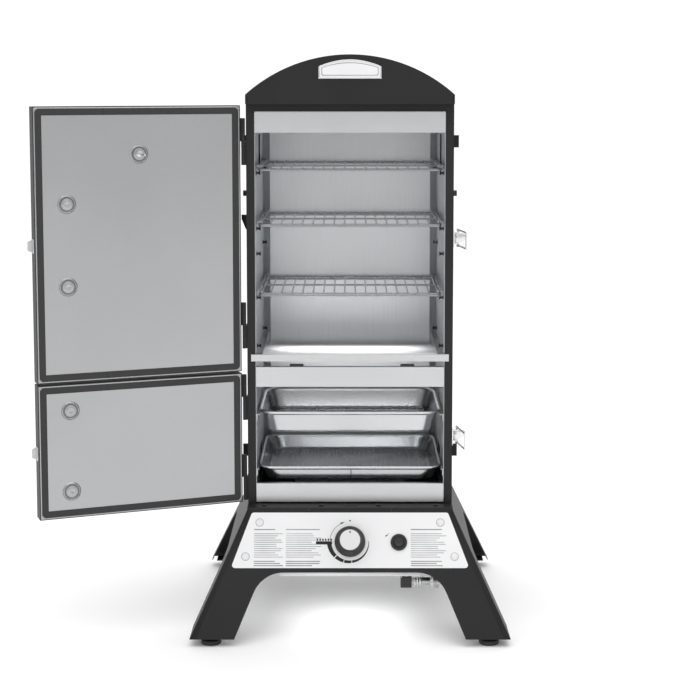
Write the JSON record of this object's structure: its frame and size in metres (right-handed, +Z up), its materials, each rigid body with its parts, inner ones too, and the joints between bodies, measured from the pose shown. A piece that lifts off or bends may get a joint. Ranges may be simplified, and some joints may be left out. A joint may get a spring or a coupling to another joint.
{
  "type": "cabinet smoker",
  "caption": "Upright gas-fired smoker: arched hood, double-skinned cabinet, two left-hung doors, wire racks, chip and water pans, burner in a flared sheet-metal stand.",
  "frame": {"origin": "centre of the stand's footprint at floor level", "axes": "+Z up, -Y the front with the doors, +X the latch side, -X the hinge side"},
  "size_m": [0.9544, 0.614, 1.185],
  "materials": {
    "left_side_panel": "satin charcoal powder coat",
    "right_side_panel": "satin charcoal powder coat",
    "back_panel": "satin charcoal powder coat",
    "chamber_liners": "brushed stainless steel",
    "back_liner": "brushed stainless steel",
    "cross_bars": "brushed stainless steel",
    "rack_bolts": "matt black",
    "pan_rails": "brushed stainless steel",
    "hood_front": "satin charcoal powder coat",
    "hood_roof": "satin charcoal powder coat",
    "badge_plate": "satin white enamel",
    "cabinet_hinge_leaves": "satin charcoal powder coat",
    "latch_bases": "bright chrome plate",
    "cabinet_screws": "matt black",
    "side_fittings": "matt black",
    "base_front": "satin charcoal powder coat",
    "base_rear": "satin charcoal powder coat",
    "base_left": "satin charcoal powder coat",
    "base_right": "satin charcoal powder coat",
    "base_deck": "satin charcoal powder coat",
    "levelling_feet": "matt black",
    "control_plate": "satin white enamel",
    "panel_rivets": "matt black",
    "gas_valve": "brass",
    "igniter_module": "matt black",
    "gas_inlet": "brass",
    "heat_shield": "brushed stainless steel",
    "burner": "cast iron",
    "flame_tamer": "brushed stainless steel",
    "left_upper_damper": "satin charcoal powder coat",
    "left_lower_damper": "satin charcoal powder coat",
    "right_upper_damper": "satin charcoal powder coat",
    "right_lower_damper": "satin charcoal powder coat",
    "top_rack": "bright chrome plate",
    "middle_rack": "bright chrome plate",
    "bottom_rack": "bright chrome plate",
    "drip_tray": "brushed stainless steel",
    "chip_pan": "brushed stainless steel",
    "chip_grid": "bright chrome plate",
    "water_pan": "brushed stainless steel",
    "valve_stem": "brass",
    "control_knob": "matt black",
    "igniter_button": "matt black",
    "upper_latch_lever": "bright chrome plate",
    "lower_latch_lever": "bright chrome plate",
    "upper_latch_bail": "bright chrome plate",
    "lower_latch_bail": "bright chrome plate",
    "upper_door_shell": "satin charcoal powder coat",
    "upper_door_inner_panel": "brushed stainless steel",
    "upper_door_gasket": "dark woven glass-fibre seal",
    "upper_door_handle": "bright chrome plate",
    "upper_door_fittings": "brushed stainless steel",
    "lower_door_shell": "satin charcoal powder coat",
    "lower_door_inner_panel": "brushed stainless steel",
    "lower_door_gasket": "dark woven glass-fibre seal",
    "lower_door_handle": "bright chrome plate",
    "lower_door_fittings": "brushed stainless steel",
    "thermometer_case": "bright chrome plate",
    "thermometer_lens": "clear",
    "thermometer_needle": "red"
  },
  "bodies": {
    "cabinet": {"left_side_panel": "left_side_panel", "right_side_panel": "right_side_panel", "back_panel": "back_panel", "chamber_liners": "chamber_liners", "back_liner": "back_liner", "cross_bars": "cross_bars", "rack_bolts": "rack_bolts", "pan_rails": "pan_rails", "hood_front": "hood_front", "hood_roof": "hood_roof", "badge_plate": "badge_plate", "cabinet_hinge_leaves": "cabinet_hinge_leaves", "latch_bases": "latch_bases", "cabinet_screws": "cabinet_screws", "side_fittings": "side_fittings", "base_front": "base_front", "base_rear": "base_rear", "base_left": "base_left", "base_right": "base_right", "base_deck": "base_deck", "levelling_feet": "levelling_feet", "control_plate": "control_plate", "panel_rivets": "panel_rivets", "gas_valve": "gas_valve", "igniter_module": "igniter_module", "gas_inlet": "gas_inlet", "heat_shield": "heat_shield", "burner": "burner", "flame_tamer": "flame_tamer"},
    "upper_door": {"upper_door_shell": "upper_door_shell", "upper_door_inner_panel": "upper_door_inner_panel", "upper_door_gasket": "upper_door_gasket", "upper_door_handle": "upper_door_handle", "upper_door_fittings": "upper_door_fittings", "thermometer_case": "thermometer_case", "thermometer_lens": "thermometer_lens"},
    "lower_door": {"lower_door_shell": "lower_door_shell", "lower_door_inner_panel": "lower_door_inner_panel", "lower_door_gasket": "lower_door_gasket", "lower_door_handle": "lower_door_handle", "lower_door_fittings": "lower_door_fittings"},
    "gauge_needle": {"thermometer_needle": "thermometer_needle"},
    "upper_lever": {"upper_latch_lever": "upper_latch_lever"},
    "upper_bail": {"upper_latch_bail": "upper_latch_bail"},
    "lower_lever": {"lower_latch_lever": "lower_latch_lever"},
    "lower_bail": {"lower_latch_bail": "lower_latch_bail"},
    "stem": {"valve_stem": "valve_stem"},
    "knob": {"control_knob": "control_knob"},
    "ignition_button": {"igniter_button": "igniter_button"},
    "left_upper_vent": {"left_upper_damper": "left_upper_damper"},
    "left_lower_vent": {"left_lower_damper": "left_lower_damper"},
    "right_upper_vent": {"right_upper_damper": "right_upper_damper"},
    "right_lower_vent": {"right_lower_damper": "right_lower_damper"},
    "rack_one": {"top_rack": "top_rack"},
    "rack_two": {"middle_rack": "middle_rack"},
    "rack_three": {"bottom_rack": "bottom_rack"},
    "drip_tray_body": {"drip_tray": "drip_tray"},
    "chip_pan_body": {"chip_pan": "chip_pan"},
    "chip_grid_body": {"chip_grid": "chip_grid"},
    "water_pan_body": {"water_pan": "water_pan"}
  },
  "joints": [
    {"name": "upper_door_swing", "type": "hinge", "parent": "cabinet", "child": "upper_door", "pos_m": [-0.2165, -0.164, 0.8], "axis": [0, 0, -1], "range_deg": [-158.8, 21.2]},
    {"name": "lower_door_swing", "type": "hinge", "parent": "cabinet", "child": "lower_door", "pos_m": [-0.2165, -0.164, 0.4], "axis": [0, 0, -1], "range_deg": [-158.8, 21.2]},
    {"name": "gauge_needle_turn", "type": "hinge", "parent": "upper_door", "child": "gauge_needle", "pos_m": [-0.43333, -0.20091, 0.988], "axis": [-0.3616, 0.9323, 0], "range_deg": [-120, 120]},
    {"name": "upper_latch_throw", "type": "hinge", "parent": "cabinet", "child": "upper_lever", "pos_m": [0.219, -0.13, 0.8105], "axis": [0, 0, -1], "range_deg": [-30, 60]},
    {"name": "upper_bail_swing", "type": "hinge", "parent": "upper_lever", "child": "upper_bail", "pos_m": [0.2235, -0.12221, 0.8105], "axis": [0, 0, 1], "range_deg": [-42.54, 85.08]},
    {"name": "lower_latch_throw", "type": "hinge", "parent": "cabinet", "child": "lower_lever", "pos_m": [0.219, -0.13, 0.3975], "axis": [0, 0, -1], "range_deg": [-30, 60]},
    {"name": "lower_bail_swing", "type": "hinge", "parent": "lower_lever", "child": "lower_bail", "pos_m": [0.2235, -0.12221, 0.3975], "axis": [0, 0, 1], "range_deg": [-42.54, 85.08]},
    {"name": "knob_push", "type": "slide", "parent": "cabinet", "child": "stem", "axis": [0, 0.9231, -0.3846], "range_m": [0, 0.003], "stiffness_N_per_m": 400, "springref_m": -0.002},
    {"name": "knob_turn", "type": "hinge", "parent": "stem", "child": "knob", "pos_m": [0, -0.223, 0.196], "axis": [0, -0.9231, 0.3846], "range_deg": [0, 265]},
    {"name": "igniter_press", "type": "slide", "parent": "cabinet", "child": "ignition_button", "axis": [0, 0.9231, -0.3846], "range_m": [0, 0.005], "stiffness_N_per_m": 300, "springref_m": -0.002},
    {"name": "left_upper_vent_turn", "type": "hinge", "parent": "cabinet", "child": "left_upper_vent", "pos_m": [-0.215, 0.014, 1.004], "axis": [-1, 0, 0], "range_deg": [0, 60]},
    {"name": "left_lower_vent_turn", "type": "hinge", "parent": "cabinet", "child": "left_lower_vent", "pos_m": [-0.215, 0.014, 0.335], "axis": [-1, 0, 0], "range_deg": [0, 60]},
    {"name": "right_upper_vent_turn", "type": "hinge", "parent": "cabinet", "child": "right_upper_vent", "pos_m": [0.215, 0.014, 1.004], "axis": [1, 0, 0], "range_deg": [0, 60]},
    {"name": "right_lower_vent_turn", "type": "hinge", "parent": "cabinet", "child": "right_lower_vent", "pos_m": [0.215, 0.014, 0.335], "axis": [1, 0, 0], "range_deg": [0, 60]},
    {"name": "top_rack_slide", "type": "slide", "parent": "cabinet", "child": "rack_one", "axis": [0, -1, 0], "range_m": [0, 0.3]},
    {"name": "middle_rack_slide", "type": "slide", "parent": "cabinet", "child": "rack_two", "axis": [0, -1, 0], "range_m": [0, 0.3]},
    {"name": "bottom_rack_slide", "type": "slide", "parent": "cabinet", "child": "rack_three", "axis": [0, -1, 0], "range_m": [0, 0.3]},
    {"name": "drip_tray_slide", "type": "slide", "parent": "cabinet", "child": "drip_tray_body", "axis": [0, -1, 0], "range_m": [0, 0.18]},
    {"name": "chip_pan_slide", "type": "slide", "parent": "cabinet", "child": "chip_pan_body", "axis": [0, -1, 0], "range_m": [0, 0.28]},
    {"name": "chip_grid_lift", "type": "slide", "parent": "chip_pan_body", "child": "chip_grid_body", "axis": [0, 0, 1], "range_m": [0, 0.05]},
    {"name": "water_pan_slide", "type": "slide", "parent": "cabinet", "child": "water_pan_body", "axis": [0, -1, 0], "range_m": [0, 0.3]}
  ],
  "couplings": [
    {"joint": "upper_bail_swing", "follows": "upper_latch_throw", "ratio": 1.418},
    {"joint": "lower_bail_swing", "follows": "lower_latch_throw", "ratio": 1.418}
  ]
}
